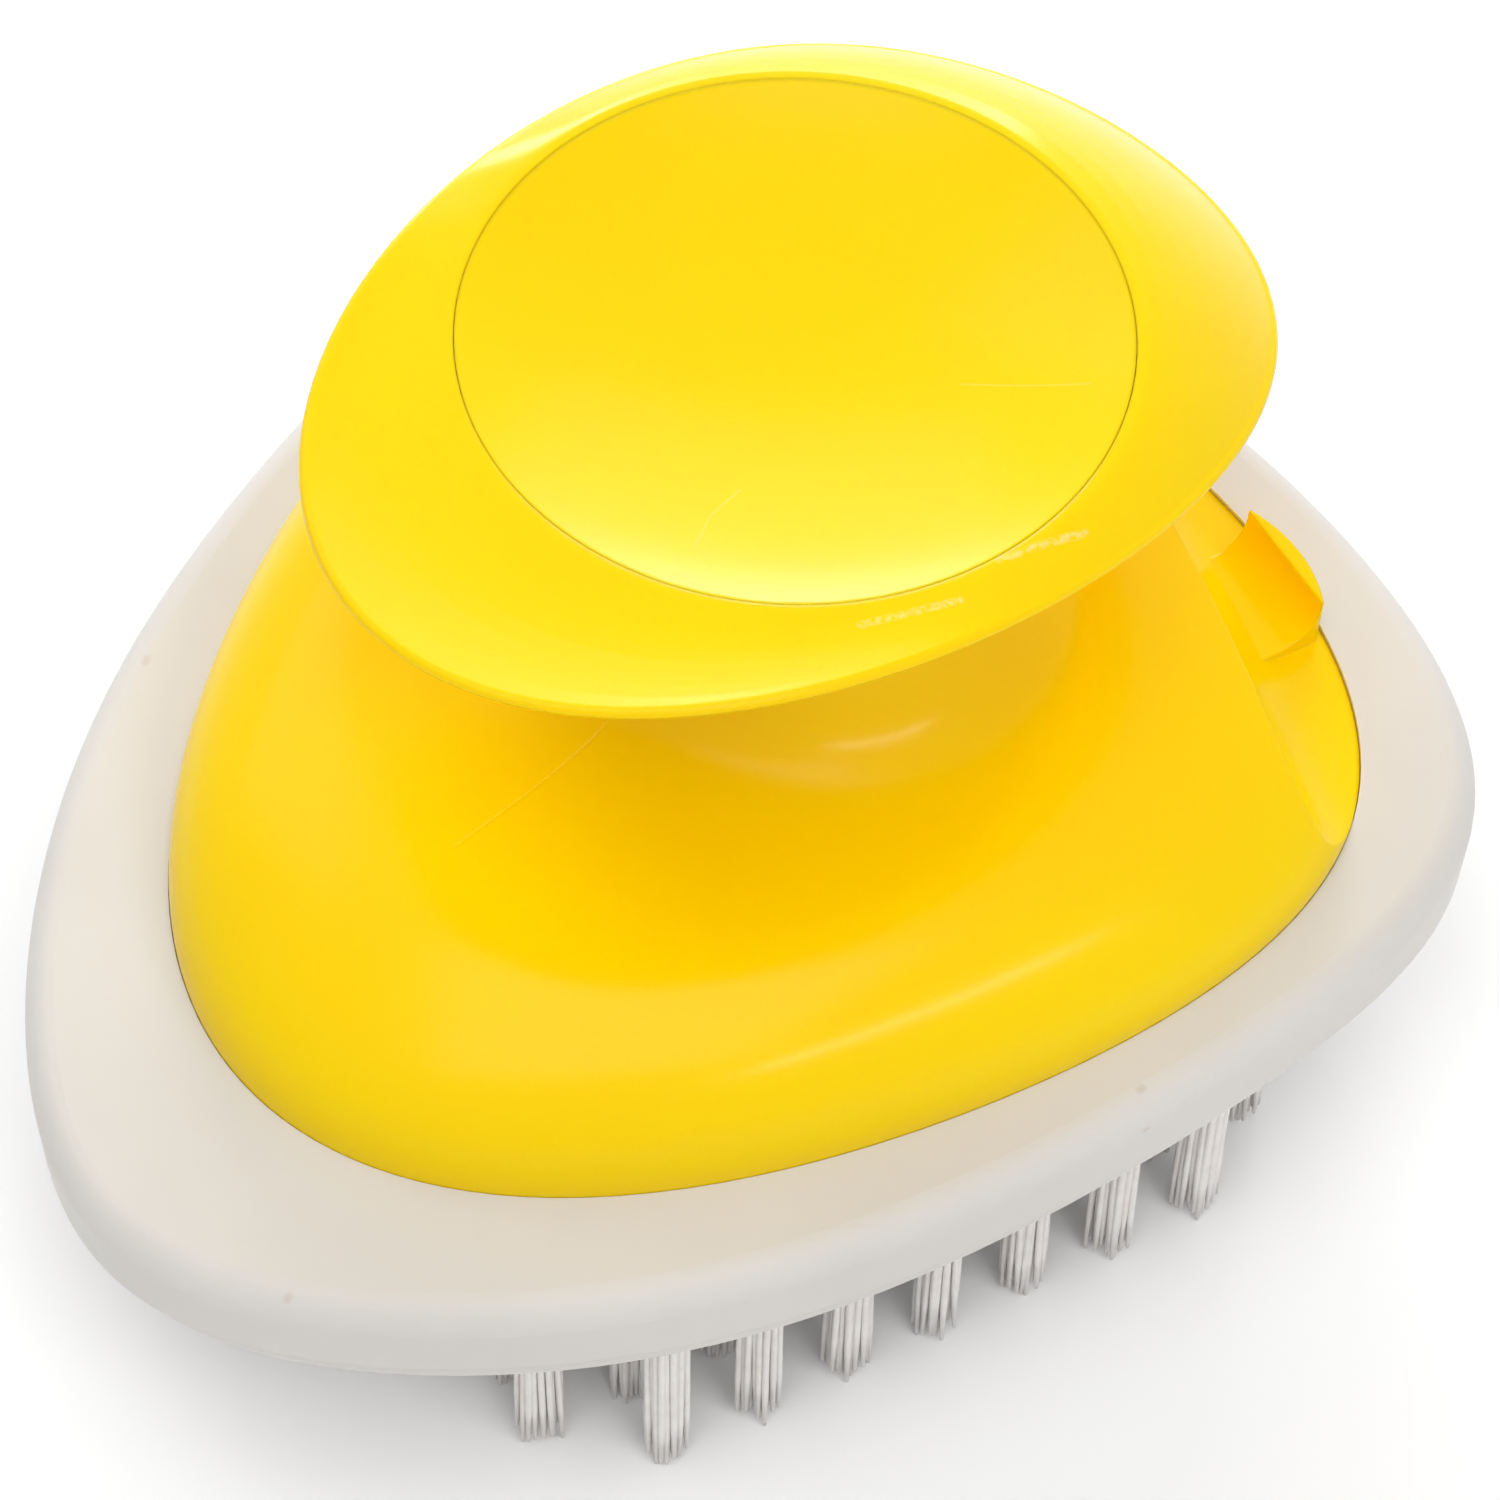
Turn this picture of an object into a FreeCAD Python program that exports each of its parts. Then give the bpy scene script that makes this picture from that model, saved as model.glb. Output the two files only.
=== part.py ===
"""Palm-held vegetable brush: an egg-shaped domed handle with a knob, a soft rim and a plate of nylon tufts.

Millimetres, +Z up. The origin lies under the middle of the rim, on the plane of the bristle tips.
The pointed nose of the egg looks to -X, and the potato-eye scoop stands at the right rear, at +X and -Y.
"""
import FreeCAD
import Part
import Sketcher
import math
import os

# Driving sizes, by piece. Names that end in share are ratios, the rest are lengths or angles in degrees.
SIZES = {
    # nylon tufts, and the slanting rows they stand in as shares of the rim's reach and half width
    "tuft_length": 18.6,
    "tuft_radius": 1.75,
    "first_tuft_x_share": -0.522,
    "first_tuft_y_share": -0.616,
    "tuft_step_x_share": 0.1298,
    "tuft_step_y_share": -0.0464,
    "row_step_x_share": 0.0301,
    "row_step_y_share": 0.1127,
    "tuft_edge_share": 0.932,
    "tuft_nose_share": 0.66,
    "tuft_reach_share": 0.95,
    "tuft_middle_share": 0.055,
    # metal anchors that hold the tufts
    "staple_height": 1.0,
    "staple_thickness": 0.5,
    "staple_inset": 0.15,
    # bristle plate
    "plate_lip": 2.0,
    "plate_thickness": 4.8,
    "plate_rise": 0.5,
    "plate_inset": 0.85,
    "hole_depth": 3.9,
    "hole_clearance": 0.05,
    # soft rim
    "rim_reach": 51.9,
    "rim_half_width": 44.9,
    "rim_taper_share": 0.296,
    "rim_bulge_share": 0.284,
    "rim_square_share": 0.269,
    "rim_height": 7.0,
    "rim_round": 2.2,
    "rim_low_round": 0.5,
    "rim_clearance": 0.05,
    "front_band": 13.8,
    "rear_band": 5.7,
    "side_band": 6.0,
    # dome, from its foot inside the rim's bands up to the neck; heights are above the rim
    "foot_taper_share": 0.308,
    "foot_bulge_share": 0.185,
    "foot_square_share": 0.041,
    "dome_height": 10.7,
    "dome_front_share": 0.627,
    "dome_rear_share": 0.977,
    "dome_side_share": 0.818,
    "neck_share": 0.2158,
    "root_height": 11.7,
    "root_radius": 17.5,
    "neck_low_height": 14.8,
    "neck_low_radius": 14.0,
    "neck_height": 19.0,
    "neck_radius": 12.6,
    "throat_height": 22.0,
    "throat_radius": 12.9,
    "body_wall": 2.4,
    # knob: its edge slopes down to the rear and turns up at the sides
    "knob_height": 32.8,
    "knob_reach": 35.7,
    "knob_half_width": 25.9,
    "knob_taper_share": 0.077,
    "knob_bulge_share": 0.036,
    "knob_square_share": 0.0,
    "knob_slope_share": -0.165,
    "knob_side_lift": 3.0,
    "knob_lip_drop": 1.1,
    "knob_lip_inset": 3.0,
    "knob_lip_round": 0.5,
    "knob_land": 0.7,
    # palm disc
    "disc_rise": 4.9,
    "disc_radius": 21.65,
    "disc_edge": 2.0,
    "disc_seat": 2.6,
    "dish_depth": 4.2,
    "disc_wall": 1.8,
    "disc_clearance": 0.05,
    # steep wall that cuts the dome at the right rear, and the scoop that stands behind it
    "wall_turn": -25.0,
    "wall_margin": 12.3,
    "wall_draft": 3.0,
    "wall_height": 14.0,
    "wall_fillet": 8.0,
    "shelf_drop": 0.4,
    "scoop_turn": -15.4,
    "scoop_rear_margin": 8.9,
    "scoop_side_margin": 24.8,
    "scoop_height": 4.2,
    "scoop_half_width": 4.7,
    "scoop_thickness": 1.15,
    "scoop_bulge": 1.0,
    "scoop_depth": 14.0,
    "rib_height": 0.4,
    "rib_fillet": 3.0,
    # cuts run past the faces that they open
    "overrun": 4.0,
}
OUTLINE_POINTS = 48
SAME_LEVEL = 1e-3
DOME_STEPS = 4
DOME_TURN = 80
UNDER_STEPS = 6
LIP_STEPS = 4
ROUND_STEPS = 3
CAP_STEPS = 8
CAP_POWER = 1.2
ROUND = ("0", "0", "0")

doc = FreeCAD.newDocument("vegetable_brush")
sheet = doc.addObject("Spreadsheet::Sheet", "sizes")
for row, (alias, number) in enumerate(SIZES.items(), start=1):
    sheet.set(f"A{row}", alias)
    sheet.set(f"B{row}", str(number))
    sheet.setAlias(f"B{row}", alias)
doc.recompute()

# Levels of the stack, from the bristle tips up
PLATE_BOTTOM = "sizes.tuft_length"
PLATE_TOP = "(sizes.tuft_length + sizes.plate_thickness)"
RIM_BOTTOM = "(sizes.tuft_length + sizes.plate_lip)"
RIM_TOP = "(sizes.tuft_length + sizes.plate_lip + sizes.rim_height)"
KNOB_EDGE = f"({RIM_TOP} + sizes.knob_height)"
KNOB_TOP = f"({KNOB_EDGE} + sizes.disc_rise)"
HOLE_FLOOR = f"({PLATE_BOTTOM} + sizes.hole_depth)"
HOLE_RADIUS = "(sizes.tuft_radius + sizes.hole_clearance)"

# The egg along which the dome meets the rim, set in from the rim's own egg by bands
FOOT_FRONT = "(sizes.rim_reach - sizes.front_band)"
FOOT_REAR = "(sizes.rim_reach - sizes.rear_band)"
FOOT_HALF_WIDTH = "(sizes.rim_half_width - sizes.side_band)"

# The upright axis of neck, knob and disc lies behind the middle by a share of the rim's reach
AXIS_X = "(sizes.rim_reach * sizes.neck_share)"
KNOB_FRONT = f"(sizes.knob_reach - {AXIS_X})"
KNOB_REAR = f"(sizes.knob_reach + {AXIS_X})"

# How far the dome's flank runs in from its foot, as shares of the way to the neck's root
FRONT_RUN = f"(sizes.dome_front_share * ({FOOT_FRONT} + {AXIS_X} - sizes.root_radius))"
REAR_RUN = f"(sizes.dome_rear_share * ({FOOT_REAR} - {AXIS_X} - sizes.root_radius))"
SIDE_RUN = f"(sizes.dome_side_share * ({FOOT_HALF_WIDTH} - sizes.root_radius))"


def value(formula):
    """The number that a formula of cells comes to."""
    result = sheet.evalExpression(formula)
    return float(getattr(result, "Value", result))


def add(kind, name, **formulas):
    """A document object whose named properties follow formulas of cells."""
    item = doc.addObject(kind, name)
    for key, formula in formulas.items():
        item.setExpression(key, formula)
    return item


def place(item, x="0", y="0", z="0"):
    """Binds where an object stands to formulas of cells."""
    for axis, formula in zip("xyz", (x, y, z)):
        item.setExpression(f"Placement.Base.{axis}", formula)
    return item


def egg_swell(angle, taper, bulge, square):
    """How far an egg swells to one side at an angle round it, before scaling to its width."""
    along = math.cos(angle)
    return math.sin(angle) * (1 + taper * along + bulge * along ** 2 + square * along ** 3)


def egg_points(front, rear, half_width, shares, slope=0.0, lift=0.0):
    """Points round an egg whose nose looks to -X, tilted by a slope along X and lifted at both sides."""
    angles = [math.pi + 2 * math.pi * step / OUTLINE_POINTS for step in range(OUTLINE_POINTS)]
    swells = [egg_swell(angle, *shares) for angle in angles]
    widest = max(swells)
    middle = (rear - front) / 2
    half_length = (rear + front) / 2
    points = []
    for angle, swell in zip(angles, swells):
        along = half_length * math.cos(angle)
        side = swell / widest
        points.append(FreeCAD.Vector(middle + along, half_width * side, slope * along + lift * side ** 2))
    return points


def egg_shares(kind):
    """The formulas of the three shares that shape a kind of egg."""
    return tuple(f"sizes.{kind}_{share}_share" for share in ("taper", "bulge", "square"))


def outline(name, level, front, rear, half_width, shares=ROUND, slope="0", lift="0"):
    """A closed egg-shaped curve at one level, with its sizes given as formulas of cells."""
    numbers = [value(formula) for formula in (front, rear, half_width)]
    points = egg_points(*numbers, [value(share) for share in shares], value(slope), value(lift))
    curve = Part.BSplineCurve()
    curve.interpolate(points, PeriodicFlag=True)
    item = doc.addObject("Part::Feature", name)
    item.Shape = Part.Wire(curve.toShape())
    return place(item, z=level)


def rim_outline(name, level, inset="0"):
    """The rim's outer egg, drawn in by an inset."""
    reach = f"sizes.rim_reach - {inset}"
    return outline(name, level, reach, reach, f"sizes.rim_half_width - {inset}", egg_shares("rim"))


def foot_outline(name, level, inset="0"):
    """The egg along which the dome meets the rim, drawn in by an inset."""
    return outline(name, level, f"{FOOT_FRONT} - {inset}", f"{FOOT_REAR} - {inset}",
                   f"{FOOT_HALF_WIDTH} - {inset}", egg_shares("foot"))


def mixed(first, second, share):
    """A formula part of the way from one formula to another."""
    return f"(({first}) * {1 - share} + ({second}) * {share})"


def dome_outline(tag, step, inset):
    """A section of the dome, whose flank is a quarter of an ellipse, upright at the foot."""
    turn = math.radians(DOME_TURN * step / DOME_STEPS)
    inward_share = 1 - math.cos(turn)
    front = f"{FOOT_FRONT} - {FRONT_RUN} * {inward_share} - {inset}"
    rear = f"{FOOT_REAR} - {REAR_RUN} * {inward_share} - {inset}"
    half_width = f"{FOOT_HALF_WIDTH} - {SIDE_RUN} * {inward_share} - {inset}"
    shares = [mixed(share, "0", inward_share) for share in egg_shares("foot")]
    level = f"{RIM_TOP} + sizes.dome_height * {math.sin(turn)} - {inset}"
    return outline(f"dome_{tag}_{step}", level, front, rear, half_width, shares)


def neck_outline(part, tag, inset):
    """A round section of the neck."""
    radius = f"(sizes.{part}_radius - {inset})"
    return outline(f"{part}_{tag}", f"{RIM_TOP} + sizes.{part}_height - {inset}", f"{radius} - {AXIS_X}",
                   f"{radius} + {AXIS_X}", radius)


def knob_outline(name, rise, inset):
    """The knob's egg, raised from its edge and drawn in by an inset, with the edge's slope and lift."""
    return outline(name, f"{KNOB_EDGE} + {rise}", f"{KNOB_FRONT} - {inset}", f"{KNOB_REAR} - {inset}",
                   f"sizes.knob_half_width - {inset}", egg_shares("knob"), "sizes.knob_slope_share",
                   "sizes.knob_side_lift")


def quarter(step, steps):
    """How far in and how far up a quarter of a unit circle has come after some of its steps."""
    turn = math.radians(90 * step / steps)
    return 1 - math.cos(turn), math.sin(turn)


def under_outline(step):
    """A section of the knob's hollow underside, from the throat out to the lip."""
    outward_share, up_share = quarter(step, UNDER_STEPS)
    inset = "sizes.knob_lip_inset"
    shares = [mixed("0", share, outward_share) for share in egg_shares("knob")]
    return outline(f"under_{step}",
                   mixed(f"{RIM_TOP} + sizes.throat_height", f"{KNOB_EDGE} - sizes.knob_lip_drop", up_share),
                   mixed(f"sizes.throat_radius - {AXIS_X}", f"{KNOB_FRONT} - {inset}", outward_share),
                   mixed(f"sizes.throat_radius + {AXIS_X}", f"{KNOB_REAR} - {inset}", outward_share),
                   mixed("sizes.throat_radius", f"sizes.knob_half_width - {inset}", outward_share), shares,
                   f"sizes.knob_slope_share * {outward_share}", f"sizes.knob_side_lift * {outward_share}")


def cap_outline(step):
    """A section of the knob's top, between its edge and the level land round the disc."""
    inward_share = step / CAP_STEPS
    outer_share = (1 - inward_share) ** CAP_POWER
    land = "(sizes.disc_radius + sizes.knob_land)"
    inset = "sizes.knob_lip_round"
    shares = [mixed(share, "0", inward_share) for share in egg_shares("knob")]
    return outline(f"cap_{step}", mixed(KNOB_TOP, f"{KNOB_EDGE} + {inset}", outer_share),
                   mixed(f"{KNOB_FRONT} - {inset}", f"{land} - {AXIS_X}", inward_share),
                   mixed(f"{KNOB_REAR} - {inset}", f"{land} + {AXIS_X}", inward_share),
                   mixed(f"sizes.knob_half_width - {inset}", land, inward_share), shares,
                   f"sizes.knob_slope_share * {outer_share}", f"sizes.knob_side_lift * {outer_share}")


def prism(name, base, length):
    """A closed outline raised along Z."""
    item = add("Part::Extrusion", name, LengthFwd=length)
    item.Base = base
    item.DirMode = "Custom"
    item.Dir = FreeCAD.Vector(0, 0, 1)
    item.Solid = True
    return item


def loft(name, sections, ruled=False):
    """A solid through closed outlines, smooth or straight from each outline to the next."""
    item = doc.addObject("Part::Loft", name)
    item.Sections = sections
    item.Solid = True
    item.Ruled = ruled
    return item


def fuse(name, shapes):
    """Several overlapping solids made one."""
    item = doc.addObject("Part::MultiFuse", name)
    item.Shapes = shapes
    item.Refine = False
    return item


def cut(name, base, tool):
    """One solid less another."""
    item = doc.addObject("Part::Cut", name)
    item.Base = base
    item.Tool = tool
    item.Refine = False
    return item


def group(name, members):
    """Separate solids kept together under one name."""
    item = doc.addObject("Part::Compound", name)
    item.Links = members
    return item


def round_edges(name, base, radii_at):
    """Rounds the closed edges that lie at given levels of a prism."""
    doc.recompute()
    item = doc.addObject("Part::Fillet", name)
    item.Base = base
    chosen = []
    for number, edge in enumerate(base.Shape.Edges, start=1):
        box = edge.BoundBox
        for level, radius in radii_at:
            if max(box.ZMax - value(level), value(level) - box.ZMin) < SAME_LEVEL:
                chosen.append((number, value(radius), value(radius)))
    item.Edges = chosen
    return item


def sketch_on(body, name, role):
    """A sketch on one of a body's own origin planes."""
    sketch = body.newObject("Sketcher::SketchObject", name)
    plane = [feature for feature in body.Origin.OriginFeatures if feature.Role == role][0]
    sketch.AttachmentSupport = (plane, [""])
    sketch.MapMode = "FlatFace"
    return sketch


# Soft rim: a rounded egg-shaped band round the dome's foot, with the plate let into it from below
def make_rim():
    blank = prism("rim_blank", rim_outline("rim_line", RIM_BOTTOM), "sizes.rim_height")
    rounded = round_edges("rim_rounded", blank, ((RIM_TOP, "sizes.rim_round"),
                                                 (RIM_BOTTOM, "sizes.rim_low_round")))
    opening_line = foot_outline("rim_opening_line", f"{RIM_BOTTOM} - sizes.overrun", "-sizes.rim_clearance")
    opening = prism("rim_opening", opening_line, "sizes.rim_height + 2 * sizes.overrun")
    rebate_line = rim_outline("rim_rebate_line", PLATE_BOTTOM, "(sizes.plate_inset - sizes.rim_clearance)")
    rebate = prism("rim_rebate", rebate_line, "sizes.plate_thickness")
    return cut("rim_bumper", rounded, fuse("rim_space", [opening, rebate]))


# Places of the tufts: slanting rows along the right flank and their mirror images along the left flank
def inside_egg(along, across):
    """Whether a place, in shares of the rim's reach and half width, lies inside the rim's egg."""
    if abs(along) >= 1:
        return False
    shares = [value(share) for share in egg_shares("rim")]
    widest = max(egg_swell(2 * math.pi * step / OUTLINE_POINTS, *shares) for step in range(OUTLINE_POINTS))
    return abs(across) < egg_swell(math.acos(along), *shares) / widest


def tuft_rows():
    """The places of the tufts of the right half, row by row from the flank inward."""
    names = ("first_tuft_x", "first_tuft_y", "tuft_step_x", "tuft_step_y", "row_step_x", "row_step_y")
    first_x, first_y, step_x, step_y, row_x, row_y = (value(f"sizes.{name}_share") for name in names)
    limits = ("edge", "nose", "reach", "middle")
    edge, nose, reach, middle = (value(f"sizes.tuft_{name}_share") for name in limits)
    rows = []
    for row in range(math.ceil(1 / row_y)):
        places = []
        for step in range(-math.ceil(1 / step_x), math.ceil(2 / step_x)):
            along = first_x + step * step_x + row * row_x
            across = first_y + step * step_y + row * row_y
            in_field = along > -nose and across < -middle and math.hypot(along, across) < reach
            if in_field and inside_egg(along / edge, across / edge):
                places.append((along * value("sizes.rim_reach"), across * value("sizes.rim_half_width")))
        if places:
            rows.append(places)
    return rows


def tuft_at(name, x, y):
    """One tuft, from its tips up to its staple."""
    tuft = add("Part::Cylinder", name, Radius="sizes.tuft_radius",
               Height=f"{HOLE_FLOOR} - sizes.staple_height")
    tuft.Placement.Base = FreeCAD.Vector(x, y, 0)
    return tuft


def hole_at(name, x, y):
    """The blind hole that one tuft stands in."""
    hole = add("Part::Cylinder", name, Radius=HOLE_RADIUS, Height="sizes.hole_depth + sizes.overrun")
    hole.Placement.Base = FreeCAD.Vector(x, y, value(f"{PLATE_BOTTOM} - sizes.overrun"))
    return hole


def staple_at(name, x, y):
    """The flat metal anchor between a tuft and the floor of its hole."""
    length = "2 * (sizes.tuft_radius - sizes.staple_inset)"
    staple = add("Part::Box", name, Length=length, Width="sizes.staple_thickness",
                 Height="sizes.staple_height")
    corner_x = x - value(length) / 2
    corner_y = y - value("sizes.staple_thickness") / 2
    staple.Placement.Base = FreeCAD.Vector(corner_x, corner_y, value(f"{HOLE_FLOOR} - sizes.staple_height"))
    return staple


def make_tufts():
    """Row nodes for both halves, with the holes and staples that go with them."""
    nodes, holes, staples = [], [], []
    for row, places in enumerate(tuft_rows(), start=1):
        for side, sign in (("right", 1), ("left", -1)):
            tufts = []
            for number, (x, y) in enumerate(places, start=1):
                tag = f"{side}_{row}_{number}"
                tufts.append(tuft_at(f"tuft_{tag}", x, sign * y))
                holes.append(hole_at(f"hole_{tag}", x, sign * y))
                staples.append(staple_at(f"staple_{tag}", x, sign * y))
            nodes.append(group(f"tufts_{side}_{row}", tufts))
    return nodes, group("tuft_holes", holes), group("staples", staples)


# Bristle plate: a slab let into the rim, with a raised middle inside the dome and blind holes for the tufts
def make_plate(holes):
    slab_line = rim_outline("plate_line", PLATE_BOTTOM, "sizes.plate_inset")
    slab = prism("plate_slab", slab_line, "sizes.plate_thickness")
    middle_line = foot_outline("plate_middle_line", PLATE_TOP, "(sizes.body_wall + sizes.rim_clearance)")
    middle = prism("plate_middle", middle_line, "sizes.plate_rise")
    return cut("bristle_plate", fuse("plate_blank", [slab, middle]), holes)


# Handle: one moulding of dome, neck, knob and scoop
def stem_sections(tag, inset="0"):
    """The outlines of the dome and neck, drawn in and lowered by an inset for the hollow."""
    foot = foot_outline(f"foot_{tag}", f"{RIM_TOP} - {inset}", inset)
    domes = [dome_outline(tag, step, inset) for step in range(1, DOME_STEPS + 1)]
    necks = [neck_outline(part, tag, inset) for part in ("root", "neck_low", "neck", "throat")]
    return [foot] + domes + necks


def knob_sections():
    """The outlines of the knob, from the throat round its lip to the land round the disc."""
    sections = [under_outline(step) for step in range(UNDER_STEPS)]
    for step in range(LIP_STEPS, -1, -1):
        inward_share, down_share = quarter(step, LIP_STEPS)
        sections.append(knob_outline(f"lip_{step}", f"-sizes.knob_lip_drop * {down_share}",
                                     f"sizes.knob_lip_inset * {inward_share}"))
    for step in range(1, ROUND_STEPS):
        inward_share, up_share = quarter(step, ROUND_STEPS)
        sections.append(knob_outline(f"round_{step}", f"sizes.knob_lip_round * {up_share}",
                                     f"sizes.knob_lip_round * {inward_share}"))
    return sections + [cap_outline(step) for step in range(CAP_STEPS + 1)]


def turned(x, y, z, angle, anchor):
    """A place for an object: turned about Z at an anchor, and set off from it along its own axes."""
    turn = FreeCAD.Rotation(FreeCAD.Vector(0, 0, 1), value(angle))
    return FreeCAD.Placement(anchor + turn.multVec(FreeCAD.Vector(x, y, z)), turn)


def round_inner_edge(name, base, radius):
    """Rounds the one edge of a block that lies at its own +X end and its bottom."""
    doc.recompute()
    item = doc.addObject("Part::Fillet", name)
    item.Base = base
    box = base.Shape.BoundBox
    chosen = []
    for number, edge in enumerate(base.Shape.Edges, start=1):
        at_end = edge.BoundBox.XMin > box.XMax - SAME_LEVEL
        at_bottom = edge.BoundBox.ZMax < box.ZMin + SAME_LEVEL
        if at_end and at_bottom:
            chosen.append((number, value(radius), value(radius)))
    item.Edges = chosen
    return item


def make_scoop():
    """The upright blade of the potato-eye scoop and the rib that joins it to the dome."""
    anchor = FreeCAD.Vector(value("sizes.rim_reach - sizes.scoop_rear_margin"),
                            value("sizes.scoop_side_margin - sizes.rim_half_width"), value(RIM_TOP))
    width = "2 * sizes.scoop_half_width"
    block = add("Part::Box", "scoop_block", Length="sizes.scoop_depth", Width=width,
                Height="sizes.overrun + sizes.scoop_height")
    block.Placement = turned(-value("sizes.scoop_depth"), -value("sizes.scoop_half_width"),
                             -value("sizes.overrun"), "sizes.scoop_turn", anchor)
    cheek = add("Part::Cylinder", "scoop_cheek", Height="sizes.overrun + sizes.scoop_height",
                Radius="(sizes.scoop_half_width ^ 2 + sizes.scoop_bulge ^ 2) / (2 * sizes.scoop_bulge)")
    doc.recompute()
    cheek.Placement = turned(-cheek.Radius.Value, 0, -value("sizes.overrun"), "sizes.scoop_turn", anchor)
    blade = doc.addObject("Part::MultiCommon", "scoop_blade")
    blade.Shapes = [block, cheek]
    space = add("Part::Box", "scoop_space_block", Length="2 * sizes.scoop_depth",
                Width=f"{width} + 2 * sizes.overrun", Height="sizes.scoop_height + sizes.overrun")
    hollow = round_inner_edge("scoop_space", space, "sizes.rib_fillet")
    hollow.Placement = turned(-value("2 * sizes.scoop_depth + sizes.scoop_thickness"),
                              -value("sizes.scoop_half_width + sizes.overrun"), value("sizes.rib_height"),
                              "sizes.scoop_turn", anchor)
    return cut("scoop", blade, hollow)


def make_wall_cutter(name, inset="0"):
    """The wedge that cuts the dome to a steep wall before the scoop, moved in by an inset for the hollow."""
    wedge = doc.addObject("Part::Wedge", f"{name}_wedge")
    reach = value("sizes.rim_reach")
    lean = value("sizes.wall_height * tan(sizes.wall_draft * 1 deg)")
    wedge.Xmin, wedge.X2min = 0, -lean
    wedge.Xmax, wedge.X2max = reach, reach
    wedge.Ymin, wedge.Ymax = 0, value("sizes.wall_height")
    wedge.Zmin, wedge.Z2min = -reach, -reach
    wedge.Zmax, wedge.Z2max = reach, reach
    doc.recompute()
    rounded = doc.addObject("Part::Fillet", name)
    rounded.Base = wedge
    radius = value("sizes.wall_fillet")
    rounded.Edges = [(number, radius, radius) for number, edge in enumerate(wedge.Shape.Edges, start=1)
                     if edge.BoundBox.XMax < SAME_LEVEL and edge.BoundBox.YMax < SAME_LEVEL]
    upright = FreeCAD.Rotation(FreeCAD.Vector(1, 0, 0), 90)
    neck = FreeCAD.Vector(value(AXIS_X), 0, value(f"{RIM_TOP} - sizes.shelf_drop - {inset}"))
    distance = value(f"sizes.rim_reach - {AXIS_X} - sizes.wall_margin - {inset}")
    stand = turned(distance, 0, 0, "sizes.wall_turn", neck)
    rounded.Placement = stand.multiply(FreeCAD.Placement(FreeCAD.Vector(), upright))
    return rounded


def make_hollow():
    """The space inside the dome, kept clear of the wall and its shelf."""
    dome_space = loft("dome_space", stem_sections("inner", "sizes.body_wall"))
    skirt_line = foot_outline("skirt_space_line", f"{PLATE_TOP} - sizes.overrun", "sizes.body_wall")
    skirt_space = prism("skirt_space", skirt_line,
                        f"{RIM_TOP} - {PLATE_TOP} + sizes.overrun - sizes.body_wall")
    whole = fuse("whole_space", [dome_space, skirt_space])
    return cut("hollow", whole, make_wall_cutter("wall_backing", "sizes.body_wall"))


def make_handle():
    skirt = prism("skirt", foot_outline("skirt_line", PLATE_TOP), f"{RIM_TOP} - {PLATE_TOP}")
    stem = loft("stem", stem_sections("outer"))
    knob = loft("knob", knob_sections(), ruled=True)
    carved = cut("carved_stem", fuse("stem_on_skirt", [skirt, stem]), make_wall_cutter("wall_cutter"))
    solid = fuse("handle_solid", [carved, knob, make_scoop()])
    seat = add("Part::Cylinder", "disc_seat", Radius="sizes.disc_radius + sizes.disc_clearance",
               Height="sizes.disc_edge + sizes.overrun")
    place(seat, x=AXIS_X, z=f"{KNOB_TOP} - sizes.disc_edge")
    pocket_depth = "(sizes.dish_depth + sizes.disc_wall + sizes.disc_clearance)"
    pocket = add("Part::Cone", "knob_pocket", Radius1="sizes.neck_radius - sizes.body_wall",
                 Radius2="sizes.disc_radius - sizes.disc_seat + sizes.disc_clearance",
                 Height=f"{pocket_depth} - sizes.disc_edge")
    place(pocket, x=AXIS_X, z=f"{KNOB_TOP} - {pocket_depth}")
    bore = add("Part::Cylinder", "neck_bore", Radius="sizes.neck_radius - sizes.body_wall",
               Height=f"{KNOB_TOP} - {RIM_TOP} - sizes.neck_height - sizes.disc_edge")
    place(bore, x=AXIS_X, z=f"{RIM_TOP} + sizes.neck_height")
    return cut("handle_body", solid, fuse("handle_inside", [make_hollow(), bore, pocket, seat]))


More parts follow.
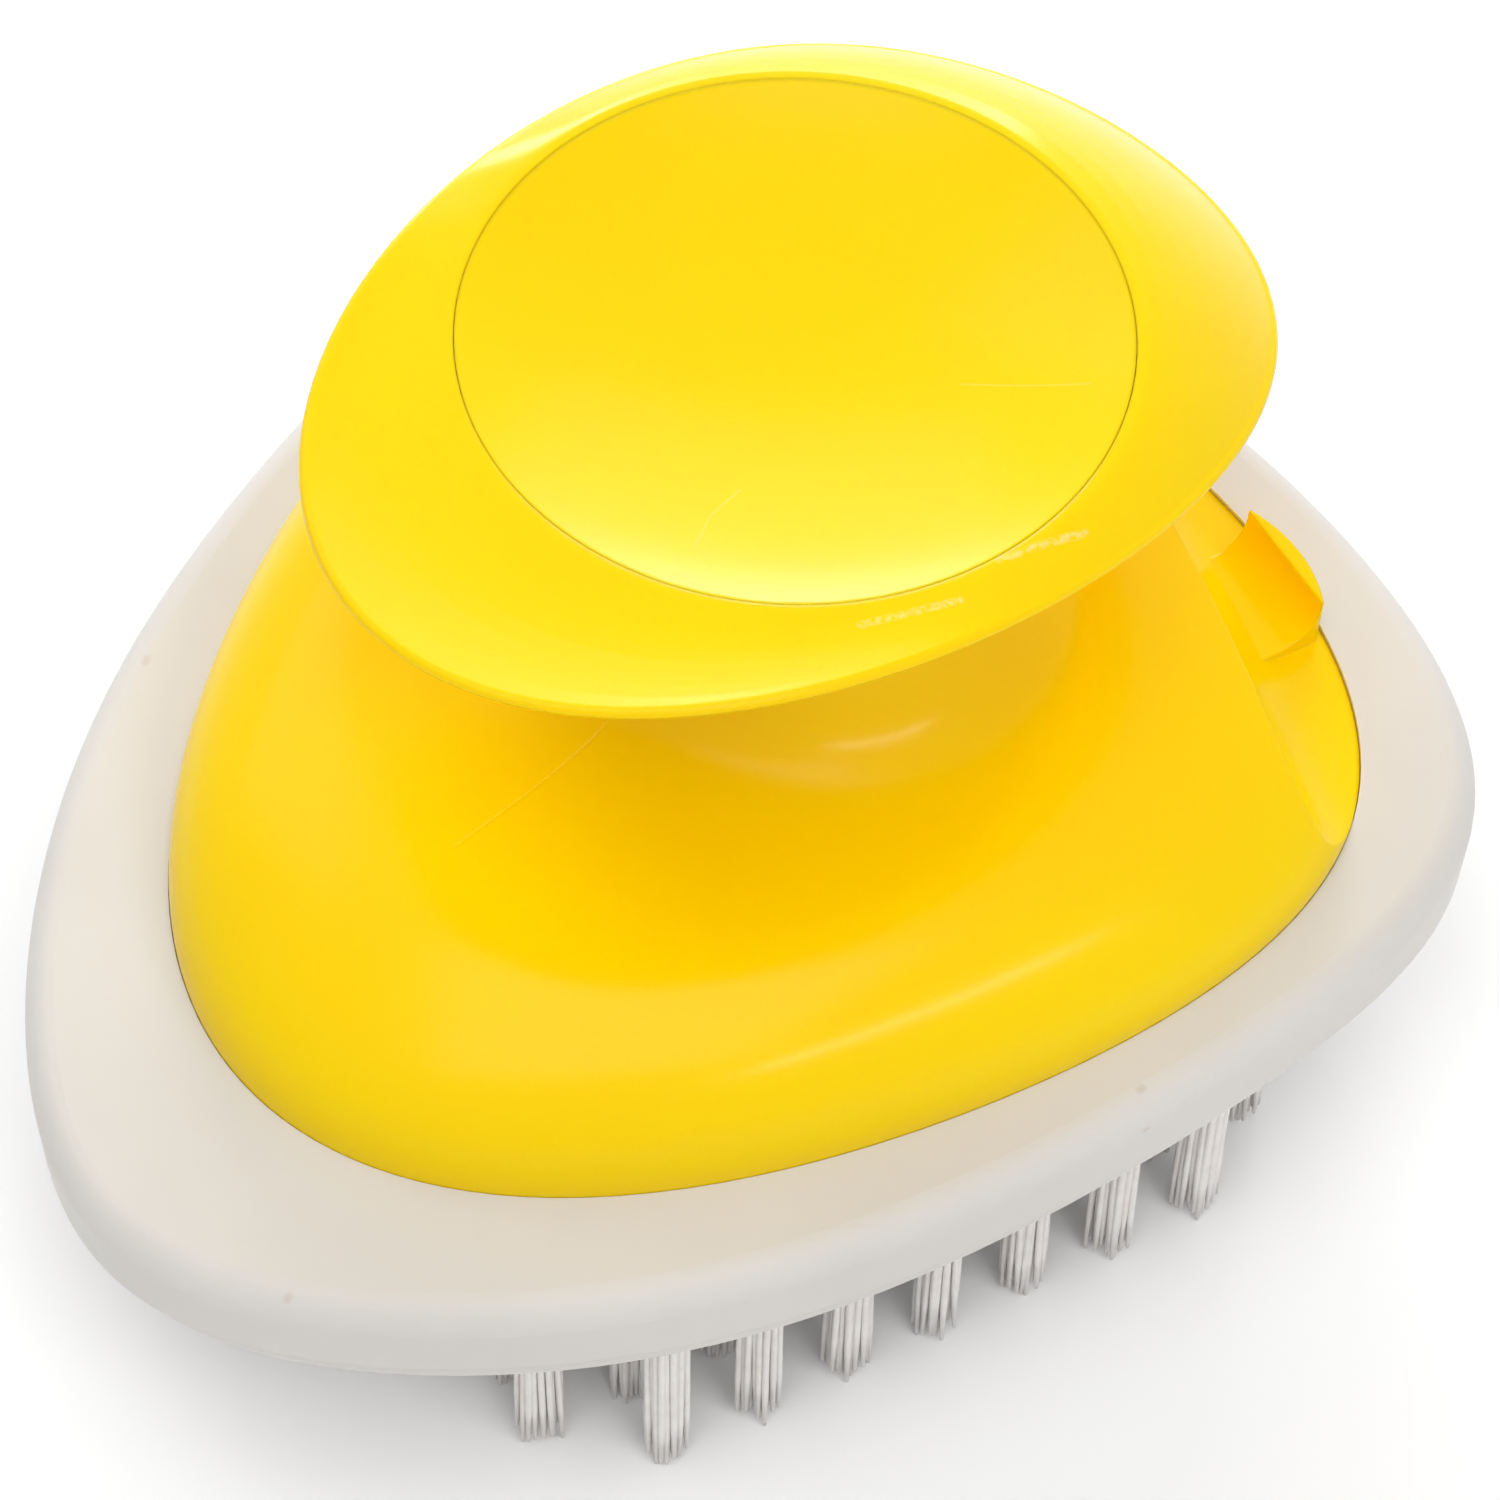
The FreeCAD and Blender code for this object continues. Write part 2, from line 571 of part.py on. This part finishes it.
# Palm disc: the dished round cap that closes the knob
def make_disc():
    body = doc.addObject("PartDesign::Body", "palm_disc")
    sketch = sketch_on(body, "disc_profile", "XZ_Plane")
    radius, edge, seat = (value(f"sizes.disc_{part}") for part in ("radius", "edge", "seat"))
    depth, wall = value("sizes.dish_depth"), value("sizes.disc_wall")
    under = depth + wall - edge
    dish_radius = (radius ** 2 + depth ** 2) / (2 * depth)
    under_radius = ((radius - seat) ** 2 + under ** 2) / (2 * under)

    def point(x, y):
        return FreeCAD.Vector(x, y, 0)

    def bowl(centre_height, bowl_radius, reach, level):
        """An arc that starts upright under its centre and rises to one side."""
        circle = Part.Circle(point(0, centre_height), FreeCAD.Vector(0, 0, 1), bowl_radius)
        end = math.atan2(level - centre_height, reach)
        return Part.ArcOfCircle(circle, -math.pi / 2, end)

    axis_side = sketch.addGeometry(Part.LineSegment(point(0, -depth), point(0, -depth - wall)))
    lower = sketch.addGeometry(bowl(under_radius - depth - wall, under_radius, radius - seat, -edge))
    step = sketch.addGeometry(Part.LineSegment(point(radius - seat, -edge), point(radius, -edge)))
    side = sketch.addGeometry(Part.LineSegment(point(radius, -edge), point(radius, 0)))
    upper = sketch.addGeometry(bowl(dish_radius - depth, dish_radius, radius, 0))
    constrain = sketch.addConstraint
    corners = ((axis_side, 2, lower, 1), (lower, 2, step, 1), (step, 2, side, 1), (side, 2, upper, 2),
               (upper, 1, axis_side, 1))
    for corner in corners:
        constrain(Sketcher.Constraint("Coincident", *corner))
    for geometry, end in ((axis_side, 1), (axis_side, 2), (lower, 3), (upper, 3)):
        constrain(Sketcher.Constraint("PointOnObject", geometry, end, -2))
    constrain(Sketcher.Constraint("PointOnObject", side, 2, -1))
    constrain(Sketcher.Constraint("Horizontal", step))
    constrain(Sketcher.Constraint("Vertical", side))
    bound = (("DistanceX", (-1, 1, side, 2), radius, "sizes.disc_radius"),
             ("DistanceY", (side, 1, side, 2), edge, "sizes.disc_edge"),
             ("DistanceX", (step, 1, step, 2), seat, "sizes.disc_seat"),
             ("DistanceY", (axis_side, 1, -1, 1), depth, "sizes.dish_depth"),
             ("DistanceY", (axis_side, 2, axis_side, 1), wall, "sizes.disc_wall"))
    for kind, ends, length, formula in bound:
        number = constrain(Sketcher.Constraint(kind, *ends, length))
        sketch.setExpression(f"Constraints[{number}]", formula)
    revolved = body.newObject("PartDesign::Revolution", "disc_revolved")
    revolved.Profile = sketch
    revolved.ReferenceAxis = (sketch, ["V_Axis"])
    revolved.Angle = 360
    place(body, x=AXIS_X, z=KNOB_TOP)
    return body


rim = make_rim()
tuft_nodes, tuft_holes, staple_group = make_tufts()
plate = make_plate(tuft_holes)
handle = make_handle()
disc = make_disc()
doc.recompute()
nodes = [handle, disc, rim, plate, staple_group] + tuft_nodes
for item in doc.Objects:
    if "Invalid" in item.State or "Error" in item.State:
        raise RuntimeError(f"{item.Name} did not build: {item.State}")
for node in nodes:
    if node.Shape.isNull() or not node.Shape.isValid():
        raise RuntimeError(f"{node.Label} has no valid shape")
os.makedirs("parts", exist_ok=True)
for node in nodes:
    node.Shape.exportStep(f"parts/{node.Label}.step")
    print(node.Label, len(node.Shape.Solids), round(node.Shape.Volume, 1))
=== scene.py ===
"""Looks of the palm-held vegetable brush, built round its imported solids.

Metres, in the same frame as the solids.
"""
import bmesh
import bpy
import math
import random
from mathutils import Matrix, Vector


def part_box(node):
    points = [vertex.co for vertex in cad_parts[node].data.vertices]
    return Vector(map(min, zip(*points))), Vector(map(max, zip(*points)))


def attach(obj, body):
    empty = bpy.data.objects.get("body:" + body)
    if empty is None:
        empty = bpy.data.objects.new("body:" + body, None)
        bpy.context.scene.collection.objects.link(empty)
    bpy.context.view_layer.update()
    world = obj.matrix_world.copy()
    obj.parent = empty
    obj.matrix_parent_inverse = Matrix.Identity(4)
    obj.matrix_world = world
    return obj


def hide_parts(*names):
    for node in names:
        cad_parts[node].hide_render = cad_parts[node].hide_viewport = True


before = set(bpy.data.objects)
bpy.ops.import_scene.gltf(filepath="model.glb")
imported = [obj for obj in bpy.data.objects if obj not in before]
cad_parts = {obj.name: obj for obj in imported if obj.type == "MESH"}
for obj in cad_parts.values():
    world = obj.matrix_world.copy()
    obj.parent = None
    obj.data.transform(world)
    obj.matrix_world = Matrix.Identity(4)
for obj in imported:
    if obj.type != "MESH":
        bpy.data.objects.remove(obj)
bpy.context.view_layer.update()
MM = 0.001

# Camera, settled on the outlines of the rim, the knob and the dish in the photograph
VIEW_AZIMUTH = math.radians(-44.19)
VIEW_ELEVATION = math.radians(55.93)
VIEW_DISTANCE = 0.2937
VIEW_TARGET = Vector((-0.00021, 0.0, 0.027))
TARGET_PIXEL = (666.05, 771.41)
PHOTO_PIXELS = 1500
PIXELS_PER_MM = 14.2945
SENSOR_MM = 36.0
CLIP_START = 0.01

# Light: the name of each lamp, its place, its width and height, and its watts
LAMPS = (("overhead", (-0.2, -0.15, 0.9), (0.7, 0.7), 4.0),
         ("left", (0.0, 0.65, 0.65), (0.5, 0.5), 1.1),
         ("back", (0.55, 0.58, 0.2), (0.6, 0.16), 3.6),
         ("back_high", (0.6, 0.5, 0.5), (0.5, 0.4), 1.1),
         ("right_strip", (-0.02, -0.55, 0.5), (0.45, 0.025), 1.1))
LAMP_TARGET = Vector((0.0, 0.0, 0.03))
FILL_STRENGTH = 0.4
SEEN_STRENGTH = 1.0
FLOOR_HALF_SIZE = 1.0

# Nylon filaments
FILAMENTS_PER_TUFT = 38
FILAMENT_RADIUS = 0.27 * MM
FILAMENT_SIDES = 6
FILAMENT_RINGS = 5
FILAMENT_TIP_SHARE = 0.55
FILAMENT_BEND_POWER = 1.6
FILAMENT_RAGGED = 1.9 * MM
FILAMENT_DRIFT = 0.12 * MM
FILAMENT_ROOT = 1.0 * MM
TUFT_SPLAY_SHARE = 0.08
TUFT_SPLAY_RANGE_SHARES = (0.3, 1.7)
TUFT_LEAN_SHARE = 0.012
TUFT_CLUMPS = 4
MERGE_DISTANCE = 0.01 * MM

# Plastics
TINT_START_SHARE = 0.3
TINT_END_SHARE = 0.7
TINT_DETAIL = 3.0
GRAIN_DETAIL = 2.0
GRAIN_HEIGHT = 0.05 * MM
SEAM_HEIGHT = 0.1 * MM
EDGE_SOFTNESS = 0.4 * MM
EDGE_SAMPLES = 6
BLEED_SHARE = 0.5
YELLOW_BLEED = 0.5 * MM
WHITE_BLEED = 0.4 * MM

# Marks of moulding and use, and streaks of painted highlight: straight strokes between two places on the
# surface, in millimetres
SEAMS = (((-19.5, 0.0, 38.1), (-6.0, -0.5, 39.4)),)
SCRATCHES = (((1.4, -5.0, 62.1), (-1.7, -5.5, 62.8)), ((-1.7, -5.5, 62.8), (-4.5, -7.0, 63.7)),
             ((22.0, -15.5, 64.3), (17.5, -8.7, 62.1)))
# Whitish streaks of painted highlight along the front-right edge of the dish, where the knob's highlight
# falls
HIGHLIGHT_STREAKS = (((12.8, -23.6, 64.7), (7.2, -21.6, 65.3)), ((-2.4, -19.1, 65.3), (3.3, -22.0, 65.2)))
SPECKS = (((-20.5, 32.2, 27.6), (-20.2, 32.4, 27.6)), ((-46.4, -12.5, 27.2), (-46.2, -12.5, 27.2)),
          ((4.3, -40.5, 27.5), (4.5, -40.5, 27.5)), ((3.3, -42.1, 25.4), (3.5, -42.1, 25.4)))
SEAM_HALF_WIDTH = 0.16 * MM
SCRATCH_HALF_WIDTH = 0.12 * MM
# Half width of the painted highlight streaks
HIGHLIGHT_STREAK_HALF_WIDTH = 0.35 * MM
SPECK_HALF_WIDTH = 0.4 * MM
STROKE_CORE_SHARE = 0.3
STROKE_HEIGHT_SHARE = 0.1
SPECK_HEIGHT_SHARE = 1.0
SCRATCH_SHARE = 0.12


def linear(red, green, blue):
    """A colour given as 8-bit display values, in the shader's linear values."""
    def one(channel):
        shown_share = channel / 255
        if shown_share <= 0.04045:
            return shown_share / 12.92
        return ((shown_share + 0.055) / 1.055) ** 2.4
    return (one(red), one(green), one(blue), 1.0)


# Shader nodes
def new_material(name):
    """A material with a principled shader, its node tree and that shader."""
    material = bpy.data.materials.new(name)
    material.use_nodes = True
    tree = material.node_tree
    return material, tree, tree.nodes["Principled BSDF"]


def add_node(tree, kind, **inputs):
    """A node with some of its sockets set."""
    node = tree.nodes.new(kind)
    for socket, setting in inputs.items():
        node.inputs[socket.replace("_", " ")].default_value = setting
    return node


def feed(tree, item, socket):
    """Links a socket to another, or sets it to a fixed value."""
    if isinstance(item, bpy.types.NodeSocket):
        tree.links.new(item, socket)
    else:
        socket.default_value = item


def noise(tree, cells_per_metre, detail=TINT_DETAIL):
    """A value from 0 to 1 that wanders over the object."""
    place = add_node(tree, "ShaderNodeTexCoord")
    wander = add_node(tree, "ShaderNodeTexNoise", Scale=cells_per_metre, Detail=detail)
    feed(tree, place.outputs["Object"], wander.inputs["Vector"])
    return wander.outputs["Fac"]


def spread(tree, source, low, high):
    """A value from 0 to 1 mapped to a range."""
    reach = add_node(tree, "ShaderNodeMapRange", To_Min=low, To_Max=high)
    feed(tree, source, reach.inputs["Value"])
    return reach.outputs["Result"]


def tinted(tree, cells_per_metre, low, high):
    """A colour that wanders between two tints."""
    ramp = add_node(tree, "ShaderNodeValToRGB")
    feed(tree, noise(tree, cells_per_metre), ramp.inputs["Fac"])
    start, end = ramp.color_ramp.elements
    start.position = TINT_START_SHARE
    start.color = low
    end.position = TINT_END_SHARE
    end.color = high
    return ramp.outputs["Color"]


def vary_gloss(tree, shader, cells_per_metre, smoothest, roughest):
    """Roughness that wanders between two values."""
    wander = noise(tree, cells_per_metre)
    feed(tree, spread(tree, wander, smoothest, roughest), shader.inputs["Roughness"])


def relief(tree, height, strength_share, depth):
    """A node that tilts normals along a height."""
    node = add_node(tree, "ShaderNodeBump", Strength=strength_share, Distance=depth)
    feed(tree, height, node.inputs["Height"])
    return node


def bleed(shader, colour_shares, distance):
    """Light that bleeds a short way through a plastic."""
    shader.inputs["Subsurface Weight"].default_value = BLEED_SHARE
    shader.inputs["Subsurface Radius"].default_value = colour_shares
    shader.inputs["Subsurface Scale"].default_value = distance


def calculate(tree, operation, first, second):
    """One operation on two values, either of them a socket or a number."""
    node = add_node(tree, "ShaderNodeMath")
    node.operation = operation
    for socket, item in zip(node.inputs, (first, second)):
        feed(tree, item, socket)
    return node.outputs["Value"]


def combine(tree, operation, first, second):
    """One operation on two vectors, either of them a socket or fixed."""
    node = add_node(tree, "ShaderNodeVectorMath")
    node.operation = operation
    for socket, item in zip(node.inputs, (first, second)):
        feed(tree, item, socket)
    return node.outputs["Value" if operation in ("DOT_PRODUCT", "DISTANCE") else "Vector"]


def stroke(tree, start, end, half_width, height_share):
    """A mask that is 1 along a straight stroke and fades to 0 at its half width.

    Heights count by a share, so that a long stroke need not lie exactly in the surface.
    """
    flatten = Vector((1.0, 1.0, height_share))
    first = Vector(start) * MM * flatten
    run = Vector(end) * MM * flatten - first
    place = add_node(tree, "ShaderNodeTexCoord").outputs["Object"]
    offset = combine(tree, "SUBTRACT", combine(tree, "MULTIPLY", place, flatten), first)
    along = spread(tree, combine(tree, "DOT_PRODUCT", offset, run / run.length_squared), 0.0, 1.0)
    nearest = add_node(tree, "ShaderNodeVectorMath")
    nearest.operation = "SCALE"
    feed(tree, run, nearest.inputs["Vector"])
    feed(tree, along, nearest.inputs["Scale"])
    gap = combine(tree, "DISTANCE", offset, nearest.outputs["Vector"])
    fade = add_node(tree, "ShaderNodeMapRange", From_Min=STROKE_CORE_SHARE * half_width, From_Max=half_width,
                    To_Min=1.0, To_Max=0.0)
    feed(tree, gap, fade.inputs["Value"])
    return fade.outputs["Result"]


def strokes(tree, marks, half_width, height_share=STROKE_HEIGHT_SHARE):
    """One mask for several strokes."""
    mask = 0.0
    for start, end in marks:
        mask = calculate(tree, "MAXIMUM", mask, stroke(tree, start, end, half_width, height_share))
    return mask


def marked(tree, colour, mask, mark_colour):
    """A colour with another laid over it by a mask."""
    mix = add_node(tree, "ShaderNodeMix")
    mix.data_type = "RGBA"
    # The colour sockets of a mix node share their names with others, so they go by number
    under, over, result = mix.inputs[6], mix.inputs[7], mix.outputs[2]
    feed(tree, mask, mix.inputs["Factor"])
    feed(tree, colour, under)
    feed(tree, mark_colour, over)
    return result


# Materials
def yellow_plastic():
    """Satin yellow moulding with a fine grain, a mould seam, marks of use and whitish streaks of painted
    highlight.
    """
    material, tree, shader = new_material("yellow_plastic")
    colour = tinted(tree, 40.0, linear(251, 209, 0), linear(254, 213, 0))
    highlight_patches = spread(tree, noise(tree, 2500.0), -0.5, 0.8)
    scratches = calculate(tree, "MULTIPLY", strokes(tree, SCRATCHES, SCRATCH_HALF_WIDTH), SCRATCH_SHARE)
    # Painted highlight: whitish streaks along the dish's front-right edge, broken up by noise
    highlight_streaks = calculate(tree, "MULTIPLY", strokes(tree, HIGHLIGHT_STREAKS, HIGHLIGHT_STREAK_HALF_WIDTH), highlight_patches)
    colour = marked(tree, colour, scratches, linear(255, 240, 170))
    # Lays the near-white painted highlight over the yellow
    colour = marked(tree, colour, highlight_streaks, linear(250, 240, 200))
    feed(tree, colour, shader.inputs["Base Color"])
    edges = add_node(tree, "ShaderNodeBevel", Radius=EDGE_SOFTNESS)
    edges.samples = EDGE_SAMPLES
    grain = relief(tree, noise(tree, 3200.0, GRAIN_DETAIL), 0.12, GRAIN_HEIGHT)
    seam = relief(tree, strokes(tree, SEAMS, SEAM_HALF_WIDTH), 0.3, SEAM_HEIGHT)
    feed(tree, edges.outputs["Normal"], seam.inputs["Normal"])
    feed(tree, seam.outputs["Normal"], grain.inputs["Normal"])
    feed(tree, grain.outputs["Normal"], shader.inputs["Normal"])
    vary_gloss(tree, shader, 900.0, smoothest=0.16, roughest=0.24)
    shader.inputs["Specular IOR Level"].default_value = 0.12
    bleed(shader, (1.0, 0.7, 0.2), YELLOW_BLEED)
    return material


def soft_white():
    """Matte warm white soft moulding with a few specks."""
    material, tree, shader = new_material("soft_white")
    colour = tinted(tree, 60.0, linear(211, 208, 203), linear(215, 212, 207))
    specks = strokes(tree, SPECKS, SPECK_HALF_WIDTH, SPECK_HEIGHT_SHARE)
    feed(tree, marked(tree, colour, specks, linear(205, 198, 188)), shader.inputs["Base Color"])
    grain = relief(tree, noise(tree, 2600.0, GRAIN_DETAIL), 0.1, GRAIN_HEIGHT)
    feed(tree, grain.outputs["Normal"], shader.inputs["Normal"])
    vary_gloss(tree, shader, 500.0, smoothest=0.52, roughest=0.62)
    bleed(shader, (1.0, 0.9, 0.8), WHITE_BLEED)
    return material


def nylon():
    """Clear-white nylon filament."""
    material, tree, shader = new_material("nylon")
    colour = tinted(tree, 700.0, linear(241, 236, 232), linear(249, 246, 243))
    feed(tree, colour, shader.inputs["Base Color"])
    vary_gloss(tree, shader, 2000.0, smoothest=0.3, roughest=0.45)
    shader.inputs["Transmission Weight"].default_value = 0.1
    return material


def staple_wire():
    """Plain drawn steel."""
    material, tree, shader = new_material("staple_wire")
    colour = tinted(tree, 3000.0, linear(150, 150, 152), linear(190, 190, 192))
    feed(tree, colour, shader.inputs["Base Color"])
    shader.inputs["Metallic"].default_value = 1.0
    shader.inputs["Roughness"].default_value = 0.35
    return material


def floor_paint():
    """Plain pale matte paint."""
    material, tree, shader = new_material("floor_paint")
    colour = tinted(tree, 1.5, linear(249, 249, 249), linear(251, 251, 251))
    feed(tree, colour, shader.inputs["Base Color"])
    shader.inputs["Roughness"].default_value = 0.9
    return material


def dress(node, material):
    """Gives a solid of the frame its material."""
    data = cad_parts[node].data
    data.materials.clear()
    data.materials.append(material)


# Meshes
def add_object(name, mesh, material):
    """A new object in the scene, made from an edited mesh."""
    data = bpy.data.meshes.new(name)
    mesh.to_mesh(data)
    mesh.free()
    data.materials.append(material)
    piece = bpy.data.objects.new(name, data)
    bpy.context.scene.collection.objects.link(piece)
    return piece


def tuft_centres(node):
    """The middle of each separate solid of a row of tufts, and its radius."""
    mesh = bmesh.new()
    mesh.from_mesh(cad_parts[node].data)
    bmesh.ops.remove_doubles(mesh, verts=mesh.verts, dist=MERGE_DISTANCE)
    unseen = set(mesh.verts)
    found = []
    while unseen:
        island = [unseen.pop()]
        for vertex in island:
            for edge in vertex.link_edges:
                other = edge.other_vert(vertex)
                if other in unseen:
                    unseen.remove(other)
                    island.append(other)
        xs = [vertex.co.x for vertex in island]
        ys = [vertex.co.y for vertex in island]
        found.append(((min(xs) + max(xs)) / 2, (min(ys) + max(ys)) / 2, (max(xs) - min(xs)) / 2))
    mesh.free()
    return sorted(found)


def add_filament(mesh, foot, tip):
    """One filament from its root down to its narrower tip."""
    rings = []
    for step in range(FILAMENT_RINGS):
        share = step / (FILAMENT_RINGS - 1)
        bend_share = share ** FILAMENT_BEND_POWER
        centre = Vector((foot.x + (tip.x - foot.x) * bend_share, foot.y + (tip.y - foot.y) * bend_share,
                         foot.z + (tip.z - foot.z) * share))
        radius = FILAMENT_RADIUS * (1.0 if share < 1 else FILAMENT_TIP_SHARE)
        ring = []
        for side in range(FILAMENT_SIDES):
            angle = 2 * math.pi * side / FILAMENT_SIDES
            outward = Vector((radius * math.cos(angle), radius * math.sin(angle), 0))
            ring.append(mesh.verts.new(centre + outward))
        rings.append(ring)
    for upper, lower in zip(rings, rings[1:]):
        for side in range(FILAMENT_SIDES):
            following = (side + 1) % FILAMENT_SIDES
            mesh.faces.new((upper[side], lower[side], lower[following], upper[following]))
    mesh.faces.new(rings[-1][::-1])
    mesh.faces.new(rings[0])


def make_tufts(node, material, seed):
    """A row of tufts as loose filaments, in place of the row's plain solids."""
    chance = random.Random(seed)
    plate_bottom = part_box("bristle_plate")[0].z
    mesh = bmesh.new()
    golden_angle = math.pi * (3 - math.sqrt(5))
    for x, y, radius in tuft_centres(node):
        turn = chance.uniform(0, 2 * math.pi)
        for count in range(FILAMENTS_PER_TUFT):
            out = (radius - FILAMENT_RADIUS) * math.sqrt((count + 0.5) / FILAMENTS_PER_TUFT)
            angle = turn + count * golden_angle
            direction = Vector((math.cos(angle), math.sin(angle), 0))
            foot = Vector((x, y, plate_bottom + FILAMENT_ROOT)) + direction * out
            splay = out * (1 + TUFT_SPLAY_SHARE * chance.uniform(*TUFT_SPLAY_RANGE_SHARES))
            clump_share = 0.5 + 0.5 * math.sin(TUFT_CLUMPS * angle + turn)
            short = FILAMENT_RAGGED * (0.5 * clump_share + 0.5 * chance.random())
            tip = Vector((x, y, short)) + direction * splay + Vector((x, y, 0)) * TUFT_LEAN_SHARE
            tip += Vector((chance.gauss(0, 1), chance.gauss(0, 1), 0)) * FILAMENT_DRIFT
            add_filament(mesh, foot, tip)
    bmesh.ops.recalc_face_normals(mesh, faces=mesh.faces)
    for face in mesh.faces:
        face.smooth = True
    piece = add_object(f"{node}_filaments", mesh, material)
    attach(piece, "root")
    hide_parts(node)


def make_floor():
    """A plain pale floor under the bristle tips."""
    mesh = bmesh.new()
    bmesh.ops.create_grid(mesh, x_segments=1, y_segments=1, size=FLOOR_HALF_SIZE)
    floor = add_object("floor", mesh, floor_paint())


# Light and camera
def make_world():
    """White to the camera, in reflections and through clear pieces, and a soft fill on the object."""
    world = bpy.data.worlds.new("studio")
    world.use_nodes = True
    tree = world.node_tree
    bpy.context.scene.world = world
    background = tree.nodes["Background"]
    background.inputs["Color"].default_value = (1.0, 1.0, 1.0, 1.0)
    path = add_node(tree, "ShaderNodeLightPath")
    seen = path.outputs["Is Camera Ray"]
    for kind in ("Is Glossy Ray", "Is Transmission Ray"):
        seen = calculate(tree, "MAXIMUM", seen, path.outputs[kind])
    feed(tree, spread(tree, seen, FILL_STRENGTH, SEEN_STRENGTH), background.inputs["Strength"])


def add_lamp(name, place, size, watts):
    """A soft rectangular lamp that looks at the brush."""
    lamp = bpy.data.lights.new(name, "AREA")
    lamp.shape = "RECTANGLE"
    lamp.size, lamp.size_y = size
    lamp.energy = watts
    holder = bpy.data.objects.new(name, lamp)
    bpy.context.scene.collection.objects.link(holder)
    holder.location = place
    holder.rotation_euler = (LAMP_TARGET - Vector(place)).to_track_quat("-Z", "Y").to_euler()


def make_camera():
    """The photograph's viewpoint."""
    level_share = math.cos(VIEW_ELEVATION)
    back = Vector((math.sin(VIEW_AZIMUTH) * level_share, -math.cos(VIEW_AZIMUTH) * level_share,
                   math.sin(VIEW_ELEVATION)))
    lens = bpy.data.cameras.new("photo_view")
    lens.sensor_width = SENSOR_MM
    lens.lens = PIXELS_PER_MM / MM * VIEW_DISTANCE / PHOTO_PIXELS * SENSOR_MM
    lens.shift_x = 0.5 - TARGET_PIXEL[0] / PHOTO_PIXELS
    lens.shift_y = TARGET_PIXEL[1] / PHOTO_PIXELS - 0.5
    lens.clip_start = CLIP_START
    camera = bpy.data.objects.new("photo_view", lens)
    bpy.context.scene.collection.objects.link(camera)
    camera.location = VIEW_TARGET + back * VIEW_DISTANCE
    camera.rotation_euler = (-back).to_track_quat("-Z", "Y").to_euler()
    bpy.context.scene.camera = camera


yellow = yellow_plastic()
white = soft_white()
dress("handle_body", yellow)
dress("palm_disc", yellow)
dress("rim_bumper", white)
dress("bristle_plate", white)
dress("staples", staple_wire())
filament = nylon()
for number, row in enumerate(sorted(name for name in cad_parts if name.startswith("tufts_"))):
    make_tufts(row, filament, number)
make_floor()
make_world()
for lamp_name, lamp_place, lamp_size, lamp_watts in LAMPS:
    add_lamp(lamp_name, lamp_place, lamp_size, lamp_watts)
make_camera()
bpy.context.scene.view_settings.view_transform = "Standard"
